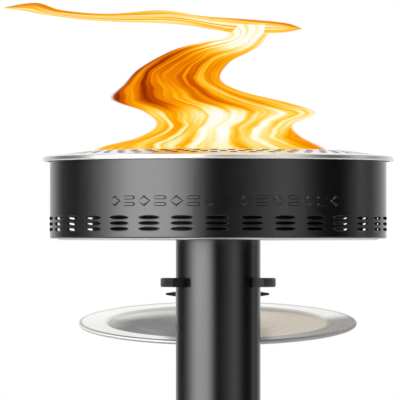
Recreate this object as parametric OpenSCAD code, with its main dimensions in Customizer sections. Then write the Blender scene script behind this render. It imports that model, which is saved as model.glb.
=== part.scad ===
// Garden torch: a shallow oil-burner head on a sectional pole with a weighted base,
// and a snuffer lid that hangs on a bracket clipped to the pole.
// Millimetres, +Z up, origin at the centre of the base where it meets the ground.

/* [Pole] */
// Outside diameter of the pole tube
pole_d = 38.1; // [30:0.1:46]
// Wall of the pole tube
pole_wall = 1.5; // [1:0.1:2.5]
// Length of each of the three pole sections
section_l = 371; // [150:1:500]
// Height of the shoulder that shows between two sections
shoulder_h = 2; // [1:0.5:5]
// How far a coupler, the top plug or the base spigot reaches into a tube
plug_l = 30; // [20:1:60]

/* [Base] */
// Diameter of the base plate
base_d = 300; // [240:1:360]
// Thickness of the base plate
base_t = 8; // [5:0.5:15]
// Distance of the ground screws and the pads from the plate's edge
deck_inset = 30; // [28:0.5:40]
// Diameter of the ground screw holes
deck_hole_d = 6.5; // [5:0.1:9]
// Height of the rubber pads that show below the plate
pad_h = 3; // [2:0.5:6]
// Diameter of the rubber pads
pad_d = 22; // [14:1:30]
// How far the flange that carries the pole reaches out from it
flange_w = 21; // [18:0.5:30]
// Thickness of that flange
flange_t = 5; // [4:0.5:8]

/* [Burner head] */
// Outside diameter of the drum
drum_d = 151.2; // [126:0.1:182]
// Height of the drum that shows below the flame ring
drum_h = 34.6; // [32:0.1:60]
// Sheet thickness of the drum
drum_wall = 1; // [0.8:0.1:1.6]
// How far the flame ring stands out from the drum
rim_overhang = 3.3; // [2:0.1:5]
// How far the pan bulges below the drum
pan_drop = 0.7; // [0.6:0.1:3]
// Sheet thickness of the stainless parts
sheet_t = 0.8; // [0.6:0.1:1.2]

/* [Air vents] */
// Number of vent columns round the drum
vent_columns = 31; // [20:1:36]
// Number of vent rows
vent_rows = 3; // [1:1:4]
// Width of one oval vent
vent_w = 9.6; // [4:0.1:11]
// Height of one oval vent
vent_h = 1.5; // [1:0.1:2]
// Height of the lowest vent row above the drum's bottom edge
vent_z = 4; // [3:0.1:8]
// Distance between vent rows
vent_pitch = 2.5; // [2.4:0.05:4]

/* [Flame ring] */
// Width of the perforated ring, from the drum's outside in to its mouth
ring_w = 19; // [17:0.1:24]
// Rise of the ring from its rim to its mouth
ring_rise = 2.7; // [1.5:0.1:8]
// Height of the rolled rim round the ring
rim_h = 2.1; // [1.8:0.1:4]
// Width of the rolled rim
rim_w = 1.7; // [1.5:0.1:2]
// How much the rim's outer face leans in at its top
rim_lean = 0.4; // [0:0.1:0.6]
// Number of holes in each of the three rows
ring_holes = 50; // [30:1:52]
// Diameter of the ring's holes
ring_hole_d = 3.6; // [2:0.1:3.8]
// Radial distance between the rows of holes
ring_row_pitch = 4.4; // [4:0.1:4.6]
// Radial distance from the mouth to the first row of holes
ring_row_start = 4.2; // [3.5:0.1:5]

/* [Fuel canister] */
// Gap between the canister and the sleeve round it
can_gap = 2.7; // [2.4:0.1:6]
// Height of the canister's body
can_h = 21.6; // [15:0.1:22]
// Diameter of the canister's neck
neck_d = 32; // [26:1:40]
// Height of the neck above the canister's body
neck_h = 4.1; // [3.5:0.1:6]
// Diameter of the wick
wick_d = 10; // [6:0.5:14]
// How far the wick stands out of its tube
wick_show = 3.5; // [1:0.1:8]

/* [Snuffer] */
// How far the snuffer lid's edge laps past the mouth that it covers
lid_lap = 7.9; // [5:0.1:12]
// Width of the lid's flat flange, round its sunk middle
lid_flange_w = 11.15; // [9:0.05:16]
// Depth of the sunk middle
lid_sink = 1.3; // [0.8:0.1:2]
// Width of the slope down to the sunk middle
lid_step_w = 4; // [2:0.1:6]
// Angle at which the lid hangs, towards the pole
lid_tilt = 7.64; // [2:0.01:12]
// Gap between the pole and the near edge of the hanging lid
lid_gap = 2; // [1.5:0.1:12]
// How far below the drum the lid's middle hangs
lid_below = 38.9; // [36:0.1:60]
// Diameter of the knob's head
knob_d = 15; // [12:0.1:18]
// Thickness of the knob's head
knob_t = 4; // [3:0.1:8]
// Height of the head's underside above the lid's rim plane
knob_z = 14.2; // [12:0.1:16]

/* [Clip and bracket] */
// Wall of the spring clip
clip_wall = 6.75; // [4:0.05:9]
// Height of the clip
clip_h = 4.1; // [3.8:0.1:12]
// Top of the clip below the drum
clip_below = 17.7; // [10:0.1:19]
// Width of the gap at the front of the clip, across its bore
clip_gap = 30; // [18:0.1:31]
// Width of the bracket strap
strap_w = 24; // [22:0.5:28]
// Thickness of the bracket strap
strap_t = 2; // [1.6:0.1:2.4]
// Diameter of the round plate that the knob hangs in
plate_d = 48; // [40:0.5:54]
// Thickness of that plate in its middle
plate_t = 4.9; // [4.4:0.1:5.5]
// Thickness of that plate at its rim
plate_rim_t = 0.9; // [0.4:0.1:1.4]
// Depth of the knob's seat below the top of that plate
seat_depth = 2.1; // [1.8:0.1:2.6]

/* [Hidden] */
$fn = 96;
tiny = 0.01;           // overcut, so that no cut ends on a face
fit_gap = 0.05;        // radial gap of a pressed or threaded fit
slip_gap = 0.1;        // radial gap of a running fit
seat_gap = 0.3;        // gap under a loose piece on its seat
screw_gap = 0.1;       // radial gap round a screw in its hole

pole_r = pole_d / 2;
bore_r = pole_r - pole_wall;
plug_r = bore_r - fit_gap;
plug_bore_r = plug_r - 6.5;            // hollow through a coupler or the spigot
base_r = base_d / 2;
deck_r = base_r - deck_inset;          // the ground screws and, between them, the pads
flange_r = pole_r + flange_w;
drum_r = drum_d / 2;
hem_w = 1.6;           // inward hem at the drum's bottom edge
hem_h = 0.8;
vent_turn = 0.6;       // the first column stands this many degrees left of the front

plate_z = pad_h;                       // underside of the base plate
flange_z = plate_z + base_t;           // underside of the flange
pole_z0 = flange_z + flange_t;         // bottom of the pole
pole_z1 = pole_z0 + section_l + shoulder_h;
pole_z2 = pole_z1 + section_l + shoulder_h;
pole_top = pole_z2 + section_l;
drum_z = pole_top + pan_drop;          // the drum's bottom edge

flange_screw_at = pole_r + 11;
flange_screw_n = 4;
deck_screw_n = 4;
m6_r = 3;
m6_head_r = 5;
m6_head_h = 4;
lock_screw_r = 2.5;
lock_head_r = 4.2;
lock_head_h = 2.4;
lock_screw_z = pole_z0 + plug_l / 2;
pad_n = 4;
pad_screw_r = 2;
pad_screw_head_r = 4;
pad_screw_head_h = 0.9;
pad_screw_sink = 1.2;                  // the head lies this deep in the pad
pad_screw_l = pad_h + base_t / 2 - pad_screw_sink;

pan_floor = drum_z - pan_drop + sheet_t;   // upper face of the pan's floor
pan_r = drum_r - drum_wall - hem_w - slip_gap;  // the pan's wall stands inside the hem
pan_wall_h = 2.6;
washer_r = 22;
washer_t = 2;
bolt_r = 4;
bolt_head_r = 7;
bolt_head_h = 3.8;
bolt_l = plug_l - 6;

cradle_shelf_h = 7.4;      // shelf above the pan's floor
cradle_wall_h = 4.3;       // rim that centres the canister
cradle_foot_w = 7;
mouth_r = drum_r - ring_w;
sleeve_r = mouth_r - slip_gap;          // outside of the inner sleeve
can_r = sleeve_r - sheet_t - can_gap;
can_bead = 0.4;                         // how far the canister's seams stand out
can_bead_h = 1.6;
cradle_rim_r = can_r + can_bead + seat_gap;
cradle_skirt_r = can_r - 7;
cradle_rivet_n = 4;
cradle_rivet_at = cradle_skirt_r - (cradle_foot_w + sheet_t) / 2;  // middle of the free foot
rivet_r = 1.5;
rivet_head_r = 2.6;
rivet_head_h = 0.9;
can_z = pan_floor + cradle_shelf_h + sheet_t + seat_gap;
can_top = can_z + can_h;
neck_top = can_top + neck_h;
neck_r = neck_d / 2;
can_wall = 0.6;
gasket_t = 0.7;
cap_skirt_r = neck_r + slip_gap;
cap_wall = 2.4;
cap_r = cap_skirt_r + cap_wall;
cap_top_t = 1.4;
cap_flutes = 30;
cap_z = can_top + 0.4;             // the cap's skirt stops just above the canister
gasket_z = neck_top + slip_gap;
cap_top = gasket_z + gasket_t + cap_top_t;
wick_r = wick_d / 2;
tube_wall = 0.7;
tube_r = wick_r + seat_gap + tube_wall;
tube_top = cap_top + 2;
wick_top = tube_top + wick_show;
wick_drop = 3;                     // how far the wick can be drawn down
wick_bottom = can_z + can_wall + wick_drop + seat_gap;

rim_corner = 0.5;                       // rounding of the rim's outer corners
ring_r = drum_r + rim_overhang;        // outermost radius of the rim
rim_z = drum_z + drum_h;               // lowest edge of the rim, outside the drum's wall
ring_low = rim_z + rim_h - sheet_t;     // underside of the cone at the rim
drum_top = ring_low - seat_gap;         // the drum's wall stops just under the cone
ring_high = ring_low + ring_rise;       // underside of the cone at the mouth
ring_rows = 3;
ring_row_r = mouth_r + ring_row_start;  // radius of the first row of holes
mouth_lip_h = 4.5;                      // collar turned down round the mouth
sleeve_z = pan_floor + 2.6;         // air for the flame comes in under the sleeve
sleeve_hole_n = 36;
sleeve_hole_d = 4;
sleeve_hole_z = ring_high - 8;

lid_r = mouth_r + lid_lap;
lid_step_r = lid_r - lid_flange_w;
lid_roll_r = 1;
lid_z = drum_z - lid_below;
lid_reach = pole_r + lid_gap + lid_r * cos(lid_tilt);
neck_stud_r = 4;                       // neck of the knob, in the bracket's slot
lid_screw_r = 2;
lid_washer_t = 1;
lid_washer_r = 9;
slot_w = 2 * (neck_stud_r + 0.5);
seat_z = knob_z - seat_gap;            // floor of the knob's seat, in the lid's own frame
hang_r = plate_d / 2;
hang_z = lid_z + seat_z * cos(lid_tilt) + seat_depth - plate_t / 2;   // middle of the round plate

clip_in_r = pole_r + slip_gap;
clip_r = clip_in_r + clip_wall;
clip_z = drum_z - clip_below - clip_h;
gap_angle = asin(clip_gap / 2 / clip_in_r);
clip_boss_y = clip_r + 0.8;            // flat back of the clip, where the strap lies
clip_screw_x = 7;
clip_screw_r = 1.25;
clip_screw_head_r = 1.8;
clip_screw_head_h = 1.4;
edge = 0.5;                            // small chamfer on moulded edges

black_coat = [0.06, 0.06, 0.065];
steel = [0.78, 0.77, 0.74];

// ---- shared shapes ----

// copies its children n times round +Z at the given radius
module ring_of(n, r, turn = 0)
    for (i = [0 : n - 1])
        rotate([0, 0, turn + i * 360 / n]) translate([r, 0, 0]) children();

// a straight tube or ring standing on z
module tube(outer, inner, h, z = 0)
    translate([0, 0, z]) difference() {
        cylinder(r = outer, h = h);
        translate([0, 0, -tiny]) cylinder(r = inner, h = h + 2 * tiny);
    }

// a disc with a chamfer round its top edge
module chamfered_disc(r, h, c)
    rotate_extrude() polygon([[0, 0], [r, 0], [r, h - c], [r - c, h], [0, h]]);

// a screw along -Z: its head stands on z = 0, and its socket is a hexagon
module socket_screw(r, l, head_r, head_h) {
    difference() {
        union() {
            chamfered_disc(head_r, head_h, head_h / 4);
            translate([0, 0, -l]) cylinder(r = r, h = l + tiny);
        }
        translate([0, 0, head_h / 2]) cylinder(r = head_r * 0.5, h = head_h, $fn = 6);
    }
}

// points along an arc, counter-clockwise from angle a to angle b
function arc(x, z, r, a, b, n = 5) =
    [for (i = [0 : n]) let (turn = a + (b - a) * i / n) [x + r * cos(turn), z + r * sin(turn)]];

// an ellipse from points round it
module oval(w, h, n = 16)
    polygon([for (i = [0 : n - 1]) [w / 2 * cos(i * 360 / n), h / 2 * sin(i * 360 / n)]]);

// half the thickness of the round plate at a share x of its radius
function lens_half(x) = (plate_rim_t + (plate_t - plate_rim_t) * (1 - x * x)) / 2;

// drop of the lid's slope at a share u of its width, from the sunk middle outwards
function step_drop(u) = lid_sink * (1 + cos(180 * u)) / 2;

// moves the lid's own frame to where the lid hangs behind the pole
module at_lid()
    translate([0, lid_reach, lid_z]) rotate([lid_tilt, 0, 0]) children();

// ---- base ----

module base_plate() color(black_coat)
    difference() {
        translate([0, 0, plate_z]) chamfered_disc(base_r, base_t, 2);
        ring_of(deck_screw_n, deck_r)
            translate([0, 0, plate_z - 1]) cylinder(d = deck_hole_d, h = base_t + 2);
        ring_of(flange_screw_n, flange_screw_at, 45)
            translate([0, 0, plate_z - 1]) cylinder(r = m6_r + fit_gap, h = base_t + 2);
        ring_of(pad_n, deck_r, 45)
            translate([0, 0, plate_z - 1]) cylinder(r = pad_screw_r + fit_gap, h = base_t / 2 + 2);
    }

module base_pads() color([0.05, 0.05, 0.05])
    ring_of(pad_n, deck_r, 45) difference() {
        cylinder(d1 = pad_d - 2, d2 = pad_d, h = pad_h);
        translate([0, 0, -1]) cylinder(r = pad_screw_head_r + screw_gap, h = pad_screw_sink + 1);
        translate([0, 0, -1]) cylinder(r = pad_screw_r + screw_gap, h = pad_h + 2);
    }

module pad_screws() color(steel)
    ring_of(pad_n, deck_r, 45) translate([0, 0, pad_screw_sink]) rotate([180, 0, 0]) difference() {
        union() {
            cylinder(r = pad_screw_head_r, h = pad_screw_head_h);
            translate([0, 0, -pad_screw_l]) cylinder(r = pad_screw_r, h = pad_screw_l + tiny);
        }
        translate([0, 0, pad_screw_head_h / 2]) cylinder(r = 1.6, h = 2, $fn = 6);
    }

module base_flange() color(black_coat)
    difference() {
        union() {
            translate([0, 0, flange_z]) chamfered_disc(flange_r, flange_t, 1);
            translate([0, 0, pole_z0 - tiny]) chamfered_disc(plug_r, plug_l, 1);
        }
        translate([0, 0, flange_z - 1]) cylinder(r = plug_bore_r, h = flange_t + plug_l + 2);
        ring_of(flange_screw_n, flange_screw_at, 45)
            translate([0, 0, flange_z - 1]) cylinder(r = m6_r + screw_gap, h = flange_t + 2);
        for (a = [0, 180]) rotate([0, 0, a]) translate([plug_bore_r - 1, 0, lock_screw_z])
            rotate([0, 90, 0]) cylinder(r = lock_screw_r + fit_gap, h = pole_r);
    }

module flange_screws() color(steel)
    ring_of(flange_screw_n, flange_screw_at, 45)
        translate([0, 0, pole_z0]) socket_screw(m6_r, flange_t + base_t - 1, m6_head_r, m6_head_h);

module pole_lock_screws() color(steel)
    for (a = [0, 180]) rotate([0, 0, a]) translate([pole_r, 0, lock_screw_z])
        rotate([0, 90, 0]) socket_screw(lock_screw_r, pole_r - plug_bore_r - 1, lock_head_r, lock_head_h);

// ---- pole ----

module pole_lower() color(black_coat)
    difference() {
        tube(pole_r, bore_r, section_l, pole_z0);
        for (a = [0, 180]) rotate([0, 0, a]) translate([bore_r - 2, 0, lock_screw_z])
            rotate([0, 90, 0]) cylinder(r = lock_screw_r + screw_gap, h = pole_wall + 4);
    }
module pole_middle() color(black_coat) tube(pole_r, bore_r, section_l, pole_z1);
module pole_upper() color(black_coat) tube(pole_r, bore_r, section_l, pole_z2);

// a turned coupler: a plug into the tube below, a shoulder, and a plug into the tube above
module coupler(z) color(steel)
    translate([0, 0, z]) rotate_extrude() polygon([
        [plug_bore_r, -plug_l], [plug_r - 1, -plug_l], [plug_r, 1 - plug_l],
        [plug_r, 0], [pole_r, 0], [pole_r, shoulder_h], [plug_r, shoulder_h],
        [plug_r, shoulder_h + plug_l - 1], [plug_r - 1, shoulder_h + plug_l],
        [plug_bore_r, shoulder_h + plug_l]]);
module lower_coupler() coupler(pole_z1 - shoulder_h);
module upper_coupler() coupler(pole_z2 - shoulder_h);

module pole_top_plug() color(steel) tube(plug_r, bolt_r + fit_gap, plug_l, pole_top - plug_l);

// ---- burner head ----

// a dished pan: flat floor below the drum, rounded up into a low wall inside the hem
module base_pan() color(steel)
    difference() {
        rotate_extrude() polygon(concat(
            [[0, pan_floor - sheet_t]],
            [for (a = [0 : 15 : 90]) [pan_r - 2 + 2 * sin(a), pan_floor - sheet_t + 2 * (1 - cos(a))]],
            [[pan_r, pan_floor + pan_wall_h], [pan_r - sheet_t, pan_floor + pan_wall_h]],
            [for (a = [90 : -15 : 0])
                [pan_r - 2 + (2 - sheet_t) * sin(a), pan_floor + (2 - sheet_t) * (1 - cos(a))]],
            [[0, pan_floor]]));
        translate([0, 0, pan_floor - 5]) cylinder(r = bolt_r + screw_gap, h = 10);
        ring_of(cradle_rivet_n, cradle_rivet_at)
            translate([0, 0, pan_floor - 5]) cylinder(r = rivet_r + fit_gap, h = 10);
    }

module head_washer() color(steel) tube(washer_r, bolt_r + screw_gap, washer_t, pan_floor);

module head_bolt() color(steel)
    translate([0, 0, pan_floor + washer_t]) socket_screw(bolt_r, bolt_l, bolt_head_r, bolt_head_h);

// a ring with a foot on the pan, a skirt, a shelf for the canister and a rim round it
module canister_cradle() color(steel)
    difference() {
        translate([0, 0, pan_floor]) rotate_extrude() polygon([
            [cradle_skirt_r - cradle_foot_w, 0], [cradle_skirt_r, 0], [cradle_skirt_r, cradle_shelf_h],
            [cradle_rim_r + sheet_t, cradle_shelf_h],
            [cradle_rim_r + sheet_t, cradle_shelf_h + cradle_wall_h],
            [cradle_rim_r, cradle_shelf_h + cradle_wall_h],
            [cradle_rim_r, cradle_shelf_h + sheet_t],
            [cradle_skirt_r - sheet_t, cradle_shelf_h + sheet_t],
            [cradle_skirt_r - sheet_t, sheet_t], [cradle_skirt_r - cradle_foot_w, sheet_t]]);
        ring_of(cradle_rivet_n, cradle_rivet_at)
            translate([0, 0, pan_floor - 5]) cylinder(r = rivet_r + fit_gap, h = 10);
    }

module cradle_rivets() color(steel)
    ring_of(cradle_rivet_n, cradle_rivet_at) {
        translate([0, 0, pan_floor + sheet_t]) chamfered_disc(rivet_head_r, rivet_head_h, 0.4);
        translate([0, 0, pan_floor - sheet_t]) cylinder(r = rivet_r, h = 2 * sheet_t + tiny);
    }

// the black drum: a hemmed bottom edge, rows of oval vents and a plain top edge under the flame ring
module outer_shell() color(black_coat)
    difference() {
        translate([0, 0, drum_z]) rotate_extrude() polygon([
            [drum_r - drum_wall - hem_w, 0], [drum_r - edge, 0], [drum_r, edge],
            [drum_r, drum_top - drum_z], [drum_r - drum_wall, drum_top - drum_z],
            [drum_r - drum_wall, hem_h], [drum_r - drum_wall - hem_w, hem_h]]);
        for (row = [0 : vent_rows - 1], column = [0 : vent_columns - 1])
            rotate([0, 0, column * 360 / vent_columns - 90 - vent_turn])
                translate([drum_r - drum_wall - 2, 0, drum_z + vent_z + row * vent_pitch])
                    rotate([90, 0, 90]) linear_extrude(height = drum_wall + 4) oval(vent_w, vent_h);
    }

// the inner wall of the burner, with a row of air holes below the mouth
module inner_sleeve() color(steel)
    difference() {
        tube(sleeve_r, sleeve_r - sheet_t, ring_high + sheet_t - sleeve_z, sleeve_z);
        ring_of(sleeve_hole_n, sleeve_r - sheet_t - 2) translate([0, 0, sleeve_hole_z])
            rotate([0, 90, 0]) cylinder(d = sleeve_hole_d, h = sheet_t + 4, $fn = 24);
    }

// the perforated ring: a rolled rim round the drum's top edge, a low cone, and a collar round the mouth
module flame_ring() color(steel)
    difference() {
        rotate_extrude() polygon(concat(
            [[ring_r - rim_w, rim_z]],
            arc(ring_r - rim_corner, rim_z + rim_corner, rim_corner, -90, 0),
            arc(ring_r - rim_corner - rim_lean, rim_z + rim_h - rim_corner, rim_corner, 10, 80),
            [[mouth_r, ring_high + sheet_t], [mouth_r, ring_high - mouth_lip_h],
                [mouth_r + sheet_t, ring_high - mouth_lip_h], [mouth_r + sheet_t, ring_high - 0.1],
                [ring_r - rim_w, ring_low]]));
        for (row = [0 : ring_rows - 1])
            ring_of(ring_holes, ring_row_r + row * ring_row_pitch, (row % 2 + 0.5) * 180 / ring_holes)
                translate([0, 0, ring_low - 2]) cylinder(d = ring_hole_d, h = ring_rise + 6, $fn = 24);
    }

// ---- fuel canister ----

// a low round can with beaded seams and an opening in the middle of its top
module fuel_canister() color([0.70, 0.69, 0.66])
    translate([0, 0, can_z]) difference() {
        union() {
            cylinder(r = can_r, h = can_h);
            for (z = [0, can_h - can_bead_h])
                translate([0, 0, z]) cylinder(r = can_r + can_bead, h = can_bead_h);
        }
        translate([0, 0, can_wall]) cylinder(r = can_r - can_wall, h = can_h - 2 * can_wall);
        translate([0, 0, can_wall]) cylinder(r = neck_r - 1 + fit_gap, h = can_h);
    }

// the collar that is crimped into that opening and carries the cap
module filler_neck() color([0.70, 0.69, 0.66]) {
    tube(neck_r, neck_r - 2, neck_h, can_top);
    tube(neck_r - 1, neck_r - 2, can_wall + 1.2 + tiny, can_top - can_wall - 1.2);
}

// the screw cap: a fluted skirt over the neck, with a hole for the wick tube
module fuel_cap() color([0.10, 0.10, 0.10])
    difference() {
        translate([0, 0, cap_z]) chamfered_disc(cap_r, cap_top - cap_z, 0.6);
        translate([0, 0, cap_z - 1]) cylinder(r = cap_skirt_r, h = cap_top - cap_top_t - cap_z + 1);
        translate([0, 0, cap_z - 1]) cylinder(r = tube_r + fit_gap, h = cap_top - cap_z + 2);
        ring_of(cap_flutes, cap_r + 0.6)
            translate([0, 0, cap_z - 1]) cylinder(r = 1, h = cap_top - cap_z + 2, $fn = 16);
    }

module cap_gasket() color([0.35, 0.08, 0.06]) tube(neck_r - 0.2, tube_r + 1.5, gasket_t, gasket_z);

// the wick tube, with a small flange that rests on the cap
module wick_tube() color([0.72, 0.55, 0.25]) {
    tube(tube_r, tube_r - tube_wall, tube_top - can_top, can_top);
    tube(tube_r + 2, tube_r - tube_wall, 0.7, cap_top);
}

module wick() color([0.88, 0.85, 0.76])
    translate([0, 0, wick_bottom]) chamfered_disc(wick_r, wick_top - wick_bottom, 0.8);

// ---- clip and bracket ----

// an open spring clip round the pole, with a flat boss at the back
module pole_clip() color([0.05, 0.05, 0.05])
    difference() {
        translate([0, 0, clip_z]) {
            rotate([0, 0, 270 + gap_angle]) rotate_extrude(angle = 360 - 2 * gap_angle) polygon([
                [clip_in_r, 0], [clip_r - edge, 0], [clip_r, edge],
                [clip_r, clip_h - edge], [clip_r - edge, clip_h], [clip_in_r, clip_h]]);
            difference() {
                translate([-strap_w / 2, 0, 0]) cube([strap_w, clip_boss_y, clip_h]);
                translate([0, 0, -1]) cylinder(r = clip_r - 1, h = clip_h + 2);
            }
        }
        for (x = [-clip_screw_x, clip_screw_x]) translate([x, clip_in_r - 3, clip_z + clip_h / 2])
            rotate([-90, 0, 0]) cylinder(r = clip_screw_r + fit_gap, h = clip_r);
    }

// a bent strap, down behind the clip and back to a lens-shaped plate, whose slot takes
// the knob's neck from behind and whose sloping seat takes its head
module snuffer_bracket() color([0.05, 0.05, 0.05])
    difference() {
        union() {
            translate([-strap_w / 2, clip_boss_y, hang_z - strap_t / 2])
                cube([strap_w, strap_t, clip_z + clip_h - hang_z + strap_t / 2]);
            translate([-strap_w / 2, clip_boss_y, hang_z - strap_t / 2])
                cube([strap_w, lid_reach - slot_w - clip_boss_y, strap_t]);
            translate([0, lid_reach, hang_z]) rotate_extrude() polygon(concat(
                [[0, -plate_t / 2]],
                [for (x = [0.2 : 0.1 : 1]) [hang_r * x, -lens_half(x)]],
                [for (x = [1 : -0.1 : 0.2]) [hang_r * x, lens_half(x)]],
                [[0, plate_t / 2]]));
        }
        at_lid() {
            translate([0, 0, seat_z - 20]) {
                cylinder(d = slot_w, h = 40);
                translate([-slot_w / 2, 0, 0]) cube([slot_w, 2 * hang_r, 40]);
            }
            translate([0, 0, seat_z]) {
                cylinder(d = knob_d + 1, h = 20);
                translate([-knob_d / 2 - 0.5, 0, 0]) cube([knob_d + 1, 2 * hang_r, 20]);
            }
        }
        for (x = [-clip_screw_x, clip_screw_x]) translate([x, clip_boss_y - 1, clip_z + clip_h / 2])
            rotate([-90, 0, 0]) cylinder(r = clip_screw_r + screw_gap, h = strap_t + 2);
    }

module bracket_screws() color(steel)
    for (x = [-clip_screw_x, clip_screw_x])
        translate([x, clip_boss_y + strap_t, clip_z + clip_h / 2]) rotate([-90, 0, 0])
            socket_screw(clip_screw_r, strap_t + 4, clip_screw_head_r, clip_screw_head_h);

// ---- snuffer, drawn in its own frame: the rim plane is z = 0 ----

module snuffer_lid() color(steel)
    at_lid() difference() {
        rotate_extrude() polygon(concat(
            [[0, -lid_sink], [0, sheet_t - lid_sink]],
            [for (u = [0 : 0.1 : 1]) [lid_step_r - lid_step_w * (1 - u), sheet_t - step_drop(u)]],
            arc(lid_r - lid_roll_r, 0, lid_roll_r, 180 - asin(sheet_t / lid_roll_r), -180, 16),
            [for (u = [1 : -0.1 : 0]) [lid_step_r - lid_step_w * (1 - u), -step_drop(u)]]));
        translate([0, 0, -lid_sink - 1]) cylinder(r = lid_screw_r + screw_gap, h = 4);
    }

module knob_washer() color([0.05, 0.05, 0.05])
    at_lid() tube(lid_washer_r, lid_screw_r + screw_gap, lid_washer_t, sheet_t - lid_sink);

// a round head on a neck, with a wider foot on the washer
module snuffer_knob() color([0.05, 0.05, 0.05])
    at_lid() difference() {
        knob_foot = sheet_t - lid_sink + lid_washer_t;
        rotate_extrude() polygon([
            [0, knob_foot], [lid_washer_r - 1, knob_foot], [lid_washer_r - 1, knob_foot + 1.5],
            [neck_stud_r, knob_foot + 4], [neck_stud_r, knob_z], [knob_d / 2, knob_z],
            [knob_d / 2, knob_z + knob_t - 1.5], [knob_d / 2 - 1.5, knob_z + knob_t], [0, knob_z + knob_t]]);
        translate([0, 0, knob_foot - 1]) cylinder(r = lid_screw_r + fit_gap, h = 9);
    }

module knob_screw() color(steel)
    at_lid() translate([0, 0, -lid_sink]) rotate([180, 0, 0])
        socket_screw(lid_screw_r, lid_washer_t + sheet_t + 7, 4, 2.2);

base_plate();
base_pads();
pad_screws();
base_flange();
flange_screws();
pole_lock_screws();
pole_lower();
lower_coupler();
pole_middle();
upper_coupler();
pole_upper();
pole_top_plug();
base_pan();
head_washer();
head_bolt();
canister_cradle();
cradle_rivets();
outer_shell();
inner_sleeve();
flame_ring();
fuel_canister();
filler_neck();
fuel_cap();
cap_gasket();
wick_tube();
wick();
pole_clip();
snuffer_bracket();
bracket_screws();
snuffer_lid();
snuffer_knob();
knob_washer();
knob_screw();
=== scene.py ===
"""Garden torch: finishes, fine pieces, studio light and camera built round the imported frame.

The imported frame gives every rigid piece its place. This script dresses those pieces, adds the fine
ones that carry no load, and lights the torch as a studio would. Lengths are in metres, +Z is up and
-Y is the front.
"""

from __future__ import annotations

import logging
import math
from dataclasses import dataclass, field
from enum import Enum
from typing import Any, Callable, Iterable

import bmesh
import bpy
from bpy.types import Material, Node, NodeSocket, Object
from mathutils import Matrix, Vector

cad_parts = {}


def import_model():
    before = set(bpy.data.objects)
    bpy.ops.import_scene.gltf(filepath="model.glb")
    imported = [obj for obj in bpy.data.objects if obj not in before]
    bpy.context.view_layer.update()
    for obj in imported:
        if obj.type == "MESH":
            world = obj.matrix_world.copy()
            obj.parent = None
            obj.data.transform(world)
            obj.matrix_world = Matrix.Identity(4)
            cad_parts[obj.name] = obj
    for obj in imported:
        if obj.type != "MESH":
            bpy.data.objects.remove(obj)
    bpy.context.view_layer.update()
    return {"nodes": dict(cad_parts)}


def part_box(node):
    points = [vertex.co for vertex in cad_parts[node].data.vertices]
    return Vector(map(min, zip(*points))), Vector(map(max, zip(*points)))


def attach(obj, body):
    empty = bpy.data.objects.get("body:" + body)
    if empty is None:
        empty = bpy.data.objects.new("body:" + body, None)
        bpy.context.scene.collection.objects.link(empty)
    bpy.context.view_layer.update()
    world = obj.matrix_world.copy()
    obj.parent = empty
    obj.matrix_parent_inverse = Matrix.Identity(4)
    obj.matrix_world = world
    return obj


LOG = logging.getLogger("garden_torch")
MM = 0.001
SHARP_ANGLE = 35.0  # degrees between two faces, past which their edge is shaded sharp
ROUND_STRETCH = 0.0006  # metres of pattern for each radian round a spun piece, so its streaks run round it

Colour = tuple[float, float, float]


# ---- shader expressions ----


class Expr:
    """A shader socket on which Python arithmetic builds Math nodes."""

    def __init__(self, graph: Graph, socket: NodeSocket) -> None:
        """Wraps one output socket of a graph."""
        self.graph = graph
        self.socket = socket

    def _math(self, operation: str, *values: Any) -> Expr:
        """Adds one Math node whose inputs are the given values, in order."""
        return self.graph.expr("ShaderNodeMath", {"operation": operation}, dict(enumerate(values)))

    def __add__(self, other: Any) -> Expr:
        """Sum with a number or an expression."""
        return self._math("ADD", self, other)

    __radd__ = __add__

    def __sub__(self, other: Any) -> Expr:
        """Difference from a number or an expression."""
        return self._math("SUBTRACT", self, other)

    def __rsub__(self, other: Any) -> Expr:
        """A number less this expression."""
        return self._math("SUBTRACT", other, self)

    def __mul__(self, other: Any) -> Expr:
        """Product with a number or an expression."""
        return self._math("MULTIPLY", self, other)

    __rmul__ = __mul__

    def sine(self) -> Expr:
        """Sine, in radians."""
        return self._math("SINE", self)

    def root(self) -> Expr:
        """Square root."""
        return self._math("SQRT", self)

    def angle_from(self, other: Expr) -> Expr:
        """Angle of the point whose rise is this expression and whose run is the other."""
        return self._math("ARCTAN2", self, other)

    def ramp(self, low: float, high: float, to_low: float = 0.0, to_high: float = 1.0) -> Expr:
        """Smooth step from to_low at low to to_high at high."""
        inputs = {"Value": self, "From Min": low, "From Max": high, "To Min": to_low, "To Max": to_high}
        return self.graph.expr("ShaderNodeMapRange", {"interpolation_type": "SMOOTHSTEP"}, inputs)


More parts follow.
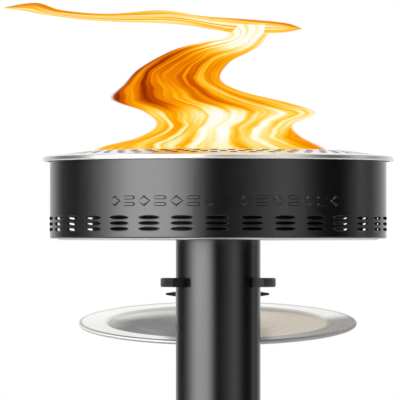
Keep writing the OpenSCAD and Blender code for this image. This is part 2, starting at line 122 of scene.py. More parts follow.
class Graph:
    """The node tree of one new material."""

    def __init__(self, name: str) -> None:
        """Starts an empty material.

        Args:
            name: the material's name.
        """
        self.material: Material = bpy.data.materials.new(name)
        self.material.use_nodes = True
        self.tree = self.material.node_tree
        self.tree.nodes.clear()

    @classmethod
    def of_tree(cls, tree: bpy.types.NodeTree) -> Graph:
        """Starts over an existing tree, such as the studio's surround.

        Args:
            tree: the node tree, which is emptied.

        Returns:
            A graph that builds in that tree.
        """
        graph = cls.__new__(cls)
        graph.tree = tree
        tree.nodes.clear()
        return graph

    def node(self, kind: str, settings: dict[str, Any] | None = None,
             inputs: dict[Any, Any] | None = None) -> Node:
        """Adds a node.

        Args:
            kind: the node's Blender type.
            settings: properties to set before the sockets; "stops" gives a colour ramp's stops.
            inputs: socket names or numbers, each with a constant, an expression or a socket.

        Returns:
            The new node.
        """
        node = self.tree.nodes.new(kind)
        for name, value in (settings or {}).items():
            if name == "stops":
                self._set_stops(node, value)
            else:
                setattr(node, name, value)
        for name, value in (inputs or {}).items():
            socket = node.inputs[name]
            if isinstance(value, Expr):
                value = value.socket
            if isinstance(value, NodeSocket):
                self.tree.links.new(value, socket)
            elif isinstance(value, tuple) and socket.type == "RGBA" and len(value) == 3:
                socket.default_value = (*value, 1.0)
            else:
                socket.default_value = value
        return node

    @staticmethod
    def _set_stops(node: Node, stops: Iterable[tuple[float, Colour]]) -> None:
        """Gives a colour ramp its stops.

        Args:
            node: the colour ramp.
            stops: place and colour of each stop, in rising order.
        """
        elements = node.color_ramp.elements
        while len(elements) > 1:
            elements.remove(elements[-1])
        for index, (place, colour) in enumerate(stops):
            stop = elements[0] if index == 0 else elements.new(place)
            stop.position = place
            stop.color = (*colour, 1.0)

    def expr(self, kind: str, settings: dict[str, Any] | None = None,
             inputs: dict[Any, Any] | None = None, output: str | int = 0) -> Expr:
        """Adds a node as node() does and returns one of its outputs as an expression."""
        return Expr(self, self.node(kind, settings, inputs).outputs[output])

    def place(self) -> Expr:
        """Position on the piece, in the torch's own frame."""
        return self.expr("ShaderNodeTexCoord", output="Object")

    def parts(self, vector: Expr) -> tuple[Expr, Expr, Expr]:
        """The X, Y and Z of a vector."""
        split = self.node("ShaderNodeSeparateXYZ", None, {0: vector})
        return Expr(self, split.outputs[0]), Expr(self, split.outputs[1]), Expr(self, split.outputs[2])

    def vector(self, x: Any, y: Any, z: Any) -> Expr:
        """A vector from three expressions or numbers."""
        return self.expr("ShaderNodeCombineXYZ", None, {0: x, 1: y, 2: z})

    def noise(self, vector: Expr, scale: float, detail: float = 3.0, roughness: float = 0.5) -> Expr:
        """Noise from 0 to 1 at a point."""
        inputs = {"Vector": vector, "Scale": scale, "Detail": detail, "Roughness": roughness}
        return self.expr("ShaderNodeTexNoise", None, inputs)

    def blend(self, factor: Expr, first: Any, second: Any) -> Expr:
        """Colour between two colours."""
        return self.expr("ShaderNodeMix", {"data_type": "RGBA"}, {0: factor, 6: first, 7: second}, 2)

    def bump(self, height: Expr, depth: float) -> Expr:
        """A normal bent by a height from 0 to 1 that stands for depth metres."""
        return self.expr("ShaderNodeBump", None, {"Height": height, "Distance": depth, "Strength": 1.0})

    def finish(self, **sockets: Any) -> Material:
        """Ends the material with one Principled shader.

        Args:
            sockets: the shader's sockets, with underscores for the spaces in their names.

        Returns:
            The finished material.
        """
        inputs = {name.replace("_", " "): value for name, value in sockets.items()}
        shader = self.node("ShaderNodeBsdfPrincipled", None, inputs)
        self.node("ShaderNodeOutputMaterial", None, {"Surface": shader.outputs[0]})
        return self.material


# ---- finishes ----


class Grain(Enum):
    """Which way the brushing of a metal piece runs."""

    ROUND = "round the upright axis"
    TURNED = "round the upright axis, coarse"


@dataclass(frozen=True)
class PowderCoat:
    """Satin powder coat: a faint orange peel, soft gloss and a trace of dust."""

    name: str = "satin_powder_coat"
    colour: Colour = (0.0022, 0.0022, 0.0024)
    dust_colour: Colour = (0.016, 0.016, 0.015)
    roughness: float = 0.17
    peel_size: float = 1.1 * MM
    peel_depth: float = 0.006 * MM
    cloud_scale: float = 22.0
    dust_scale: float = 900.0

    def make(self) -> Material:
        """Builds the material.

        Returns:
            The finished material.
        """
        graph = Graph(self.name)
        place = graph.place()
        peel = graph.noise(place, 1.0 / self.peel_size, 2.0)
        cloud = graph.noise(place, self.cloud_scale, 5.0, 0.6)
        dust = graph.noise(place, self.dust_scale, 2.0, 0.7).ramp(0.62, 0.80) * cloud.ramp(0.45, 0.75)
        rough = self.roughness + (cloud - 0.5) * 0.06 + dust * 0.2
        return graph.finish(
            Base_Color=graph.blend(dust * 0.5, self.colour, self.dust_colour),
            Roughness=rough,
            Specular_IOR_Level=0.55,
            Normal=graph.bump(peel, self.peel_depth),
        )


@dataclass(frozen=True)
class BrushedMetal:
    """Brushed or turned metal, with fine streaks in its gloss and its surface."""

    name: str
    colour: Colour
    grain: Grain = Grain.ROUND
    roughness: float = 0.24
    streak_gloss: float = 0.16
    streak_size: float = 0.35 * MM
    streak_depth: float = 0.004 * MM
    round_stretch: float = 0.0005
    turned_pitch: float = 0.4
    stain_share: float = 0.35
    tint: Colour = (0.62, 0.57, 0.50)

    def _along(self, graph: Graph) -> Expr:
        """Coordinates that are long along the brushing and short across it.

        Args:
            graph: the material's node tree.

        Returns:
            The coordinates, as one vector.
        """
        x, y, z = graph.parts(graph.place())
        radius = (x * x + y * y).root()
        around = y.angle_from(x) * self.round_stretch
        if self.grain is Grain.TURNED:
            return graph.vector(radius, around, z * self.turned_pitch)
        return graph.vector(radius, around, z)

    def make(self) -> Material:
        """Builds the material.

        Returns:
            The finished material.
        """
        graph = Graph(self.name)
        streaks = graph.noise(self._along(graph), 1.0 / self.streak_size, 4.0, 0.65)
        cloud = graph.noise(graph.place(), 35.0, 3.0)
        stain = cloud.ramp(0.55, 0.85) * self.stain_share
        return graph.finish(
            Base_Color=graph.blend(stain, self.colour, self.tint),
            Metallic=1.0,
            Roughness=self.roughness + (streaks - 0.5) * self.streak_gloss + (cloud - 0.5) * 0.08,
            Normal=graph.bump(streaks, self.streak_depth),
        )


@dataclass(frozen=True)
class FlameRingSteel:
    """The flame ring: bright brushed steel, sooty in its holes, on its underside and round its mouth."""

    drum_radius: float
    name: str = "flame_ring_steel"
    bright: Colour = (0.86, 0.85, 0.82)
    straw: Colour = (0.66, 0.60, 0.50)
    soot: Colour = (0.020, 0.018, 0.016)
    rim_edge: float = 0.5 * MM
    heated_width: float = 16 * MM
    rings_scale: float = 2200.0
    ring_depth: float = 0.004 * MM

    def make(self) -> Material:
        """Builds the material.

        Returns:
            The finished material.
        """
        graph = Graph(self.name)
        place = graph.place()
        x, y, z = graph.parts(place)
        radius = (x * x + y * y).root()
        around = y.angle_from(x) * ROUND_STRETCH
        rings = graph.noise(graph.vector(radius, around, z), self.rings_scale, 4.0, 0.6)
        cloud = graph.noise(place, 35.0, 3.0)
        facing_up = graph.parts(graph.expr("ShaderNodeTexCoord", output="Normal"))[2]
        inside_rim = radius.ramp(self.drum_radius - self.rim_edge, self.drum_radius, 1.0, 0.0)
        sooty = facing_up.ramp(0.70, 0.90, 1.0, 0.0) * inside_rim
        near_mouth = radius.ramp(self.drum_radius - self.heated_width, self.drum_radius, 0.45, 0.1)
        heat = cloud.ramp(0.40, 0.80) * near_mouth
        colour = graph.blend(heat, self.bright, self.straw)
        return graph.finish(
            Base_Color=graph.blend(sooty, colour, self.soot),
            Metallic=1.0,
            Roughness=0.24 + (rings - 0.5) * 0.16 + sooty * 0.35,
            Normal=graph.bump(rings, self.ring_depth),
        )


@dataclass(frozen=True)
class SpunLid:
    """The snuffer lid: painted reflections make its bright spun flange darker on its right and its middle
    straw to grey.

    A fade is the pair of places, measured from the lid's middle, between which one colour gives way to
    the next. A width is a pair of distances in from the edge that it belongs to.
    """

    middle: Vector
    rim_radius: float
    step_radius: float
    tilt: float
    name: str = "spun_lid"
    # Painted reflections: the straw, the grey and the flange's dark patch are reflections laid into the
    # colour, and bright is both the steel and their light end.
    bright: Colour = (1.0, 0.99, 0.965)
    straw: Colour = (0.62, 0.54, 0.42)
    grey: Colour = (0.055, 0.055, 0.050)
    flange_dark_reflection: Colour = (0.26, 0.235, 0.205)
    rolled: Colour = (0.56, 0.55, 0.53)
    rim_width: tuple[float, float] = (1.8 * MM, 0.9 * MM)
    slope_width: tuple[float, float] = (3.5 * MM, 1.0 * MM)
    # Fades of the painted reflections: grey to bright from front to back, bright on the left, straw on the
    # right, dark on the flange's right.
    depth_reflection_fade: tuple[float, float] = (22 * MM, 62 * MM)
    left_reflection_fade: tuple[float, float] = (-64 * MM, -38 * MM)
    straw_reflection_fade: tuple[float, float] = (-6 * MM, 18 * MM)
    flange_reflection_fade: tuple[float, float] = (30 * MM, 52 * MM)
    drift_width: float = 20 * MM
    rings_scale: float = 1600.0
    ring_depth: float = 0.004 * MM

    def make(self) -> Material:
        """Builds the material.

        Returns:
            The finished material.
        """
        graph = Graph(self.name)
        place = graph.place()
        x, y, z = graph.parts(place)
        depth = (y - self.middle.y) * (1.0 / math.cos(self.tilt))
        radius = (x * x + depth * depth).root()
        around = depth.angle_from(x) * ROUND_STRETCH
        rings = graph.noise(graph.vector(radius, around, 0.0), self.rings_scale, 4.0, 0.6)
        cloud = graph.noise(place, 28.0, 3.0, 0.55)
        drift = x + (cloud - 0.5) * self.drift_width
        # Painted reflections in the middle: grey at the front going to bright at the back, bright on the left
        # and straw on the right.
        depth_reflection = graph.blend((depth - drift * 0.3).ramp(*self.depth_reflection_fade), self.grey, self.bright)
        tint = graph.blend(
            (drift - depth * 0.45).ramp(*self.left_reflection_fade),
            self.bright,
            graph.blend(drift.ramp(*self.straw_reflection_fade), depth_reflection, self.straw),
        )
        # Painted dark reflection on the flange's right, towards the front.
        flange = graph.blend((drift - depth * 0.9).ramp(*self.flange_reflection_fade), self.bright, self.flange_dark_reflection)
        slope_in, slope_out = (self.step_radius - width for width in self.slope_width)
        inside = radius.ramp(slope_in, slope_out, 1.0, 0.0)
        rim_in, rim_out = (self.rim_radius - width for width in self.rim_width)
        rim = radius.ramp(rim_in, rim_out)
        flange = graph.blend(rim, flange, self.rolled)
        return graph.finish(
            Base_Color=graph.blend(inside, flange, tint),
            Metallic=1.0,
            Anisotropic=0.6,
            Roughness=0.30 + rim * 0.30 + (rings - 0.5) * 0.22 + (cloud - 0.5) * 0.06,
            Normal=graph.bump(rings, self.ring_depth),
        )


@dataclass(frozen=True)
class Moulding:
    """Moulded plastic or rubber with a fine spark-eroded grain."""

    name: str
    colour: Colour
    roughness: float = 0.45
    gloss: float = 0.5
    grain_size: float = 0.5 * MM
    grain_depth: float = 0.012 * MM
    cloud_scale: float = 40.0

    def make(self) -> Material:
        """Builds the material.

        Returns:
            The finished material.
        """
        graph = Graph(self.name)
        place = graph.place()
        grain = graph.noise(place, 1.0 / self.grain_size, 3.0, 0.6)
        cloud = graph.noise(place, self.cloud_scale, 3.0)
        lighter = tuple(min(1.0, channel * 1.6 + 0.004) for channel in self.colour)
        return graph.finish(
            Base_Color=graph.blend(cloud.ramp(0.4, 0.8) * 0.5, self.colour, lighter),
            Roughness=self.roughness + (grain - 0.5) * 0.15,
            Specular_IOR_Level=self.gloss,
            Normal=graph.bump(grain, self.grain_depth),
        )


@dataclass(frozen=True)
class BraidedCotton:
    """Woven cotton round an upright wick, charred at its top."""

    char_from: float
    char_to: float
    name: str = "braided_cotton"
    colour: Colour = (0.80, 0.74, 0.60)
    shadow: Colour = (0.42, 0.36, 0.27)
    char_colour: Colour = (0.012, 0.010, 0.009)
    strands: int = 14
    pitch: float = 2.2 * MM
    fuzz_height: float = 2 * MM
    weave_depth: float = 0.25 * MM

    def make(self) -> Material:
        """Builds the material.

        Returns:
            The finished material.
        """
        graph = Graph(self.name)
        place = graph.place()
        x, y, z = graph.parts(place)
        turn = y.angle_from(x) * float(self.strands)
        rise = z * (2 * math.pi / self.pitch)
        weave = (turn + rise).sine() * (turn - rise).sine() * 0.5 + 0.5
        fuzz = graph.noise(place, 2500.0, 3.0)
        yarn = graph.blend(weave.ramp(0.15, 0.75), self.shadow, self.colour)
        edge = z + (fuzz - 0.5) * self.fuzz_height
        char = edge.ramp(self.char_from, self.char_to)
        return graph.finish(
            Base_Color=graph.blend(char, yarn, self.char_colour),
            Roughness=0.9,
            Normal=graph.bump(weave + fuzz * 0.3, self.weave_depth),
        )


# ---- mesh helpers ----


def make_object(name: str, mesh_bm: bmesh.types.BMesh, material: Material, smooth: bool = True) -> Object:
    """Turns a bmesh into an object at the origin.

    Args:
        name: the piece's name.
        mesh_bm: the shape, in the torch's own frame; it is freed here.
        material: its finish.
        smooth: whether its faces are shaded smooth, apart from sharp edges.

    Returns:
        The new object, linked to the scene.
    """
    mesh = bpy.data.meshes.new(name)
    mesh_bm.to_mesh(mesh)
    mesh_bm.free()
    mesh.materials.append(material)
    piece = bpy.data.objects.new(name, mesh)
    bpy.context.scene.collection.objects.link(piece)
    LOG.info("built %s, %d faces", name, len(mesh.polygons))
    if smooth:
        mesh.shade_smooth()
        mesh.set_sharp_from_angle(angle=math.radians(SHARP_ANGLE))
    return piece


def dress(nodes: dict[str, Object], names: Iterable[str], material: Material) -> None:
    """Gives carried-over pieces a finish through their own material slots.

    Args:
        nodes: the frame's pieces by name.
        names: the pieces to dress.
        material: their finish.
    """
    for name in names:
        mesh = nodes[name].data
        if not mesh.materials:
            mesh.materials.append(material)
        for index in range(len(mesh.materials)):
            mesh.materials[index] = material
        LOG.info("dressed %s in %s", name, material.name)


def wrap(verts: Iterable[bmesh.types.BMVert], radius: float, azimuth: float, height: float) -> None:
    """Bends a flat shape round the upright axis.

    Args:
        verts: the shape, drawn with X along the drum, Z up and Y outwards.
        radius: the drum's radius.
        azimuth: radians from the front, positive to the right.
        height: where the shape's Z of 0 goes.
    """
    for vert in verts:
        turn = azimuth + vert.co.x / radius
        reach = radius + vert.co.y
        vert.co = Vector((reach * math.sin(turn), -reach * math.cos(turn), height + vert.co.z))


def oval_rim(bm: bmesh.types.BMesh, rings: tuple[tuple[float, float, float], ...],
             segments: int = 20) -> list[bmesh.types.BMVert]:
    """Adds a band that follows ovals of several sizes.

    Args:
        bm: the mesh to add to.
        rings: half width, half height and lift of each oval, in order.
        segments: points round each oval.

    Returns:
        The new vertices, still flat.
    """
    upright = Matrix.Rotation(math.radians(90), 4, "X")
    verts = bmesh.ops.create_circle(bm, segments=segments, radius=1.0, matrix=upright)["verts"]
    edges = list(dict.fromkeys(edge for vert in verts for edge in vert.link_edges))
    every = list(verts)
    last = (1.0, 1.0, 0.0)
    for index, ring in enumerate(rings):
        if index:
            grown = bmesh.ops.extrude_edge_only(bm, edges=edges)["geom"]
            verts = [item for item in grown if isinstance(item, bmesh.types.BMVert)]
            kept = set(verts)
            edges = [
                item for item in grown if isinstance(item, bmesh.types.BMEdge) and kept.issuperset(item.verts)
            ]
            every += verts
        bmesh.ops.scale(bm, vec=(ring[0] / last[0], 1.0, ring[1] / last[1]), verts=verts)
        bmesh.ops.translate(bm, vec=(0.0, ring[2] - last[2], 0.0), verts=verts)
        last = ring
    return every


# ---- studio ----


@dataclass
class Studio:
    """Camera, one soft light overhead, pale floor, and a surround that lights the torch from all round.

    The dome's fade is in degrees above the horizon. The bands for the ground and for the part behind the
    torch are shares of the surround's direction, from -1 to 1.
    """

    eye_below_drum: float = 8.5 * MM
    eye_side: float = -8.15 * MM
    eye_distance: float = 2.57
    aim_above_eye: float = 25.8 * MM
    view_width: float = 179.7 * MM
    sensor: float = 36.0
    brightest: float = 8.0
    dome_level: float = 0.06
    behind_level: float = 0.135
    dome_from: float = 28.0
    dome_to: float = 45.0
    ground_level: float = 0.05
    ground_band: tuple[float, float] = (-0.25, -0.05)
    behind_band: tuple[float, float] = (0.75, 0.92)
    top_light_height: float = 2.0
    top_light_reach: float = 0.3
    top_light_side: float = 1.6
    top_light_power: float = 12.0
    # azimuth in degrees, 0 in front and positive to the right, and the share of the brightest light there
    panorama: tuple[tuple[float, float], ...] = (
        (-180, 0.125), (-150, 0.09), (-134, 0.022), (-112, 0.016), (-100, 0.07), (-86, 0.24), (-72, 0.60),
        (-60, 0.88), (-47, 0.94), (-35, 0.88), (-24, 0.62), (-15, 0.28), (-8, 0.05), (-2, 0.012),
        (4, 0.012), (20, 0.055), (32, 0.11), (44, 0.165), (55, 0.13), (64, 0.06), (74, 0.01), (90, 0.002),
        (99, 0.02), (113, 0.085), (126, 0.035), (140, 0.065), (158, 0.105), (180, 0.125),
    )

    def camera(self, drum_bottom: float) -> None:
        """Stands the camera in front of the burner head, just below the drum's edge.

        Args:
            drum_bottom: height of the drum's lower edge.
        """
        data = bpy.data.cameras.new("studio_camera")
        data.sensor_width = self.sensor
        data.lens = self.sensor * self.eye_distance / self.view_width
        data.clip_start, data.clip_end = 0.1, 50.0
        camera = bpy.data.objects.new("studio_camera", data)
        bpy.context.scene.collection.objects.link(camera)
        eye = Vector((self.eye_side, -self.eye_distance, drum_bottom - self.eye_below_drum))
        aim = Vector((self.eye_side, 0.0, eye.z + self.aim_above_eye))
        camera.location = eye
        camera.rotation_euler = (aim - eye).to_track_quat("-Z", "Y").to_euler()
        bpy.context.scene.camera = camera
        bpy.context.scene.view_settings.view_transform = "Standard"

    def softbox(self, name: str, azimuth: float, height: float, distance: float,
                size: tuple[float, float], power: float, aim: Vector) -> None:
        """Adds one rectangular light.

        Args:
            name: the light's name.
            azimuth: degrees round the torch, 0 in front and positive to the right.
            height: height of the light's middle.
            distance: from the torch's axis.
            size: width and height of its face.
            power: in watts.
            aim: the point it faces.
        """
        data = bpy.data.lights.new(name, "AREA")
        data.shape = "RECTANGLE"
        data.size, data.size_y = size
        data.energy = power
        light = bpy.data.objects.new(name, data)
        bpy.context.scene.collection.objects.link(light)
        turn = math.radians(azimuth)
        light.location = (distance * math.sin(turn), -distance * math.cos(turn), height)
        light.rotation_euler = (aim - Vector(light.location)).to_track_quat("-Z", "Y").to_euler()
        light.visible_camera = False

    def surround(self) -> None:
        """A white surround for the camera, and for the pieces a studio whose light changes with direction."""
        world = bpy.data.worlds.new("studio_surround")
        world.use_nodes = True
        bpy.context.scene.world = world
        graph = Graph.of_tree(world.node_tree)
        x, y, z = graph.parts(graph.expr("ShaderNodeTexCoord", output="Generated"))
        turn = x.angle_from(y * -1.0) * (0.5 / math.pi) + 0.5
        stops = tuple((0.5 + azimuth / 360.0, (level, level, level)) for azimuth, level in self.panorama)
        level_light = graph.expr("ShaderNodeValToRGB", {"stops": stops}, {0: turn})
        dome = z.ramp(math.sin(math.radians(self.dome_from)), math.sin(math.radians(self.dome_to)))
        below = z.ramp(*self.ground_band, 1.0, 0.0)
        behind = y.ramp(*self.behind_band)
        upper = graph.blend(behind, (self.dome_level,) * 3, (self.behind_level,) * 3)
        seen = graph.blend(dome, level_light, upper)
        seen = graph.blend(below, seen, (self.ground_level,) * 3)
        camera_ray = graph.expr("ShaderNodeLightPath", output="Is Camera Ray")
        white = (1.0 / self.brightest,) * 3
        colour = graph.blend(camera_ray, seen, white)
        shader = graph.node("ShaderNodeBackground", None, {"Color": colour, "Strength": self.brightest})
        graph.node("ShaderNodeOutputWorld", None, {0: shader.outputs[0]})

    def floor(self, half_side: float = 12.0, drop: float = 0.2 * MM) -> None:
        """Lays a pale floor under the base.

        Args:
            half_side: half the length of its side.
            drop: how far it lies under the base.
        """
        bm = bmesh.new()
        bmesh.ops.create_grid(bm, x_segments=1, y_segments=1, size=half_side)
        bmesh.ops.translate(bm, verts=bm.verts, vec=(0.0, 0.0, -drop))
        graph = Graph("pale_floor")
        speck = graph.noise(graph.place(), 3.0, 4.0)
        pale = graph.blend(speck, (0.80, 0.80, 0.79), (0.86, 0.86, 0.85))
        make_object("studio_floor", bm, graph.finish(Base_Color=pale, Roughness=0.85), smooth=False)

    def build(self, drum_bottom: float) -> None:
        """Sets up the whole studio.

        Args:
            drum_bottom: height of the drum's lower edge, which the camera and the light go by.
        """
        head = Vector((0.0, 0.0, drum_bottom))
        self.camera(drum_bottom)
        self.surround()
        self.floor()
        self.softbox(
            "top_light",
            azimuth=0.0,
            height=drum_bottom + self.top_light_height,
            distance=self.top_light_reach,
            size=(self.top_light_side, self.top_light_side),
            power=self.top_light_power,
            aim=head,
        )


# ---- the drum's pressed details ----


class Motif(Enum):
    """The shapes in the drum's raised band."""

    LOZENGE = "lozenge"
    BARS = "pair of bars"


@dataclass
class DrumDetails:
    """Rolled edges round the vents and a raised band of plain shapes above them."""

    radius: float
    bottom: float
    coat: Material
    columns: int = 31
    rows: int = 3
    first_turn: float = -0.6
    row_height: float = 4.0 * MM
    row_pitch: float = 2.5 * MM
    vent_size: tuple[float, float] = (9.6 * MM, 1.5 * MM)
    edge_width: float = 0.32 * MM
    edge_lift: float = 0.16 * MM
    wall: float = 1.0 * MM
    band_height: float = 16.3 * MM
    band_turns: tuple[float, float] = (-37.0, 43.0)
    motif_count: int = 15
    lozenge: tuple[float, float] = (3.0 * MM, 2.5 * MM)
    bar: tuple[float, float] = (3.0 * MM, 0.85 * MM)
    bar_rise: float = 1.45 * MM
    top_share: tuple[float, float] = (0.90, 0.62)
    relief: float = 0.55 * MM

    def vent_edges(self) -> None:
        """Adds one rolled edge round each vent."""
        bm = bmesh.new()
        half_w, half_h = self.vent_size[0] / 2, self.vent_size[1] / 2
        width = self.edge_width
        # half width, half height and lift of each ring of the edge, from outside to the back of the wall
        rings = (
            (half_w + width * 1.5, half_h + width, 0.0),
            (half_w + width * 0.8, half_h + width * 0.55, self.edge_lift),
            (half_w + width * 0.2, half_h + width * 0.10, self.edge_lift * 0.7),
            (half_w - width * 0.1, half_h - width * 0.10, -self.wall * 0.5),
            (half_w - width * 0.1, half_h - width * 0.10, -self.wall),
        )
        for row in range(self.rows):
            for column in range(self.columns):
                turn = math.radians(self.first_turn + column * 360.0 / self.columns)
                height = self.bottom + self.row_height + row * self.row_pitch
                wrap(oval_rim(bm, rings), self.radius, turn, height)
        bmesh.ops.recalc_face_normals(bm, faces=bm.faces)
        piece = make_object("vent_edges", bm, self.coat)
        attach(piece, "stand")

    def _plaque(self, bm: bmesh.types.BMesh, half_w: float, half_h: float, rise: float,
                outline: Callable[[float], float]) -> list[bmesh.types.BMVert]:
        """Adds one raised shape with sloping sides.

        Args:
            bm: the mesh to add to.
            half_w: half its width.
            half_h: half its height.
            rise: how far its middle lies above the band's middle.
            outline: share of the height at a share of the width, from -1 to 1.

        Returns:
            The new vertices, still flat.
        """
        upright = Matrix.Rotation(math.radians(90), 4, "X")
        base = bmesh.ops.create_grid(bm, x_segments=12, y_segments=2, size=1.0, matrix=upright)["verts"]
        faces = list(dict.fromkeys(face for vert in base for face in vert.link_faces))
        grown = bmesh.ops.extrude_face_region(bm, geom=faces)["geom"]
        bmesh.ops.delete(bm, geom=faces, context="FACES_KEEP_BOUNDARY")
        top = [item for item in grown if isinstance(item, bmesh.types.BMVert)]
        base = [vert for vert in base if vert.is_valid]
        for vert in base + top:
            vert.co.z *= outline(vert.co.x)
        bmesh.ops.scale(bm, vec=(half_w, 1.0, half_h), verts=base)
        bmesh.ops.scale(bm, vec=(half_w * self.top_share[0], 1.0, half_h * self.top_share[1]), verts=top)
        bmesh.ops.translate(bm, vec=(0.0, self.relief, rise), verts=top)
        bmesh.ops.translate(bm, vec=(0.0, 0.0, rise), verts=base)
        return base + top

    def band(self) -> None:
        """Adds the raised band."""
        bm = bmesh.new()
        low, high = self.band_turns
        for index in range(self.motif_count):
            motif = Motif.LOZENGE if index % 2 == 0 else Motif.BARS
            if motif is Motif.LOZENGE:
                verts = self._plaque(bm, *self.lozenge, 0.0, lambda x: max(0.06, 1.0 - abs(x)))
            else:
                verts = [
                    vert
                    for rise in (-self.bar_rise, self.bar_rise)
                    for vert in self._plaque(bm, *self.bar, rise, lambda x: math.sqrt(1.02 - x ** 6))
                ]
            turn = math.radians(low + (high - low) * index / (self.motif_count - 1))
            wrap(verts, self.radius, turn, self.bottom + self.band_height)
        bmesh.ops.recalc_face_normals(bm, faces=bm.faces)
        piece = make_object("raised_band", bm, self.coat, smooth=False)
        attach(piece, "stand")

    def build(self) -> None:
        """Adds all of them."""
        self.vent_edges()
        self.band()


# ---- the flame, which rides with the canister though it is not part of the torch ----


def smooth_between(a: float, b: float, c: float, d: float, t: float) -> float:
    """The value at a share t of the way from b to c, on a smooth curve through a, b, c and d."""
    slope, bend, twist = c - a, 2 * a - 5 * b + 4 * c - d, 3 * b - a - 3 * c + d
    return 0.5 * (2 * b + slope * t + bend * t * t + twist * t ** 3)


@dataclass(frozen=True)
class FlameSheet:
    """One sheet of flame: its two edges in millimetres from the mouth's middle, and how it stands.

    Each row is the left edge's X and Z and the right edge's X and Z, from the sheet's start to its end.
    A blown sheet trails away sideways, and any other stands on the mouth.
    """

    name: str
    rows: tuple[tuple[float, float, float, float], ...]
    bow: float
    turn: float = 0.0
    width: float = 1.0
    seed: float = 0.0
    blown: bool = False

    def row(self, share: float) -> list[float]:
        """Finds the sheet's two edges at one height of the flame.

        Args:
            share: share of the sheet's length, from 0 to 1.

        Returns:
            A row such as the given ones, on a smooth curve through them.
        """
        place = share * (len(self.rows) - 1)
        index = min(int(place), len(self.rows) - 2)
        t = place - index
        picked = [self.rows[max(0, min(len(self.rows) - 1, index + step))] for step in (-1, 0, 1, 2)]
        return [smooth_between(*values, t) for values in zip(*picked)]

    def point(self, across: float, along: float) -> Vector:
        """Places one point of the sheet.

        Args:
            across: share of its width, from 0 to 1.
            along: share of its length, from 0 to 1.

        Returns:
            The point, measured from the mouth's middle.
        """
        left_x, left_z, right_x, right_z = self.row(along)
        flat = left_x + (right_x - left_x) * across
        rise = left_z + (right_z - left_z) * across
        ripple = 0.35 * self.bow * math.sin(9.0 * along + 5.0 * across)
        depth = self.bow * (math.sin(math.pi * across) - 0.5) + ripple
        spot = Vector((flat * self.width, -depth, rise))
        return Matrix.Rotation(math.radians(self.turn), 3, "Z") @ spot * MM


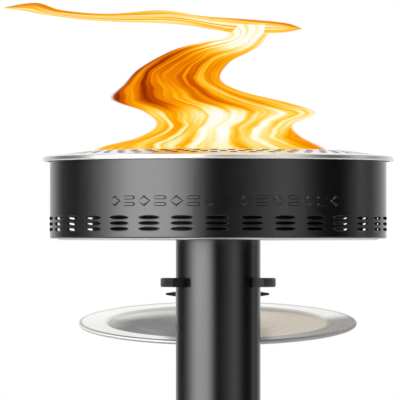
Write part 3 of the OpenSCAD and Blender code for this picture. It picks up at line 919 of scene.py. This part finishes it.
@dataclass
class Flame:
    """Sheets of flame over the burner's mouth, which ride with the canister.

    The colours run from the coolest gas to the hottest.
    """

    mouth: Vector
    steps_across: int = 28
    steps_along: int = 110
    body: tuple[tuple[float, float, float, float], ...] = (
        (-62, -3, 58, -3), (-53, 2, 48, 2), (-37, 6, 38, 7), (-28.5, 12, 34.5, 12), (-35, 18, 44.5, 17),
        (-49, 23.5, 33, 21.5), (-43, 30.5, 11, 27), (-36, 37.5, 1.5, 32.5), (-21, 45.5, 5.5, 40),
        (-8, 48.8, 14, 44.6), (1, 50.5, 19.5, 48), (4, 53, 23, 53), (0, 57.5, 25, 57),
    )
    streamer: tuple[tuple[float, float, float, float], ...] = (
        (37.5, 55.1, 37.5, 54.9), (30, 57.6, 28, 53), (12, 59.4, 10, 52.4), (-7, 60.8, -2, 54.4),
        (-25, 63.4, -20, 57), (-50, 61.8, -54, 58.5), (-70, 63.4, -75, 60.9), (-82, 66.6, -86, 62.6),
        (-97, 64.4, -97, 64.2),
    )
    colours: tuple[tuple[float, Colour], ...] = (
        (0.12, (0.30, 0.030, 0.0)),
        (0.28, (0.62, 0.10, 0.0)),
        (0.42, (0.90, 0.25, 0.001)),
        (0.53, (1.0, 0.42, 0.002)),
        (0.64, (1.0, 0.66, 0.07)),
        (0.76, (1.0, 0.92, 0.52)),
        (0.90, (1.0, 1.0, 0.94)),
    )

    def _sheet(self, sheet: FlameSheet) -> None:
        """Bends a flat grid into one sheet.

        Args:
            sheet: its edges and how it stands.
        """
        bm = bmesh.new()
        bm.loops.layers.uv.new("flow")
        bmesh.ops.create_grid(
            bm, x_segments=self.steps_across, y_segments=self.steps_along, size=0.5, calc_uvs=True
        )
        for vert in bm.verts:
            vert.co = self.mouth + sheet.point(vert.co.x + 0.5, vert.co.y + 0.5)
        piece = make_object(sheet.name, bm, self.material(sheet))
        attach(piece, "canister")

    def material(self, sheet: FlameSheet) -> Material:
        """Glowing gas: pale at its heart, orange in its folds and clear towards its edges.

        Args:
            sheet: the sheet that it is for.

        Returns:
            The finished material.
        """
        graph = Graph(sheet.name + "_glow")
        u, v, _ = graph.parts(graph.expr("ShaderNodeUVMap", {"uv_map": "flow"}))
        sway = graph.noise(graph.vector(u * 1.2, v * 5.0, sheet.seed), 1.0, 2.0) - 0.5
        lane = u + sway * 0.35
        streaks = graph.noise(graph.vector(lane * 9.0, v * 1.6, sheet.seed + 3.0), 1.0, 2.5, 0.55)
        fine = graph.noise(graph.vector(lane * 30.0, v * 2.2, sheet.seed + 6.0), 1.0, 1.0)
        if sheet.blown:
            start, end = v.ramp(0.0, 0.2, 0.20, 0.0), v.ramp(0.35, 0.95) * 0.12
            base = 0.60 + u.ramp(0.1, 0.8, 0.0, 0.16) - start - end
        else:
            middle = 1.0 - (u - 0.5) * (u - 0.5) * 4.0
            folds = v.ramp(0.30, 0.42) * v.ramp(0.62, 0.76, 1.0, 0.0) * u.ramp(0.45, 0.95, 1.0, 0.35)
            tip, foot = v.ramp(0.70, 0.86) * 0.22, v.ramp(0.02, 0.16, 0.06, 0.0)
            base = 0.62 + middle * 0.12 - folds * 0.36 + tip - foot
        heat = base - 0.03 + (streaks - 0.5) * 1.30 + (fine - 0.5) * 0.22
        colour = graph.expr("ShaderNodeValToRGB", {"stops": self.colours}, {0: heat})
        glow = graph.node("ShaderNodeEmission", None, {"Color": colour, "Strength": 1.0})
        clear = graph.node("ShaderNodeBsdfTransparent")
        ragged = (streaks - 0.5) * 0.05
        sides = (u + ragged).ramp(0.0, 0.03) * (u - ragged).ramp(0.97, 1.0, 1.0, 0.0)
        opacity = sides * v.ramp(0.97, 1.0, 1.0, 0.0)
        mixed = graph.node("ShaderNodeMixShader", None, {0: opacity, 1: clear.outputs[0], 2: glow.outputs[0]})
        graph.node("ShaderNodeOutputMaterial", None, {"Surface": mixed.outputs[0]})
        return graph.material

    def build(self) -> None:
        """Adds every sheet."""
        self._sheet(FlameSheet("flame_body", self.body, bow=14.0))
        self._sheet(FlameSheet("flame_streamer", self.streamer, bow=5.0, seed=2.0, blown=True))
        self._sheet(FlameSheet("flame_cross", self.body, bow=0.0, turn=90.0, width=0.7, seed=5.0))


# ---- the torch ----


@dataclass
class Torch:
    """Dresses the carried-over pieces with their finishes."""

    nodes: dict[str, Object]
    drum_radius: float
    lid_flange: float = 11.15 * MM
    char_reach: tuple[float, float] = (3 * MM, 1 * MM)
    coat: Material = field(default_factory=lambda: PowderCoat().make())
    # The canister cradle is coated black, partly as painted shade for the drum's inside seen through the
    # vents.
    coated: tuple[str, ...] = (
        "outer_shell", "pole_lower", "pole_middle", "pole_upper", "base_plate", "base_flange",
        "canister_cradle",
    )
    fasteners: tuple[str, ...] = (
        "pad_screws", "flange_screws", "pole_lock_screws", "head_washer", "head_bolt", "cradle_rivets",
        "bracket_screws", "knob_screw",
    )
    turned: tuple[str, ...] = ("lower_coupler", "upper_coupler", "pole_top_plug")
    moulded: tuple[str, ...] = ("fuel_cap", "snuffer_knob", "knob_washer")

    def lid_finish(self) -> SpunLid:
        """Measures the snuffer lid for its finish.

        Returns:
            The finish, centred on the lid and tilted as it hangs.
        """
        low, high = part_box("snuffer_lid")
        width, depth = high.x - low.x, high.y - low.y
        radius = width / 2
        return SpunLid((low + high) / 2, radius, radius - self.lid_flange, math.acos(min(1.0, depth / width)))

    def wick_finish(self) -> BraidedCotton:
        """Measures the wick for its finish, charred at its top."""
        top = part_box("wick")[1].z
        return BraidedCotton(*(top - reach for reach in self.char_reach))

    def build(self) -> None:
        """Dresses every carried-over piece."""
        # Near-black inner sleeve: soot, and painted shade for the drum's inside seen through the vents.
        sooty = BrushedMetal(
            "soot_and_shade_steel", (0.022, 0.020, 0.018), roughness=0.48, tint=(0.040, 0.032, 0.026)
        )
        finishes = (
            (("base_pan",), BrushedMetal("brushed_stainless", (0.74, 0.72, 0.68))),
            (("flame_ring",), FlameRingSteel(self.drum_radius)),
            (("inner_sleeve",), sooty),
            (("snuffer_lid",), self.lid_finish()),
            (self.fasteners, BrushedMetal("zinc_plate", (0.60, 0.60, 0.58), roughness=0.34)),
            (self.turned, BrushedMetal("turned_alloy", (0.74, 0.74, 0.75), Grain.TURNED)),
            (("fuel_canister", "filler_neck"), BrushedMetal("tinplate", (0.66, 0.65, 0.62), roughness=0.30)),
            (("wick_tube",), BrushedMetal("brass_tube", (0.72, 0.48, 0.20), roughness=0.28)),
            (self.moulded, Moulding("black_moulding", (0.012, 0.012, 0.013))),
            (("pole_clip",), Moulding("clip_nylon", (0.006, 0.006, 0.006), 0.42, gloss=0.34)),
            (("snuffer_bracket",), Moulding("black_bracket", (0.002, 0.002, 0.002), 0.6, gloss=0.12)),
            (("base_pads",), Moulding("pad_rubber", (0.015, 0.015, 0.015), roughness=0.7)),
            (("cap_gasket",), Moulding("red_gasket", (0.20, 0.03, 0.02), roughness=0.6)),
            (("wick",), self.wick_finish()),
        )
        dress(self.nodes, self.coated, self.coat)
        for names, finish in finishes:
            dress(self.nodes, names, finish.make())


def main() -> None:
    """Loads the frame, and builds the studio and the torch."""
    logging.basicConfig(level=logging.INFO, format="%(message)s")
    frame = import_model()
    drum_low, drum_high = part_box("outer_shell")
    drum_radius = (drum_high.x - drum_low.x) / 2
    Studio().build(drum_low.z)
    torch = Torch(frame["nodes"], drum_radius)
    torch.build()
    DrumDetails(drum_radius, drum_low.z, torch.coat).build()
    Flame(Vector((0.0, 0.0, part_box("flame_ring")[1].z))).build()


if __name__ == "__main__":
    main()
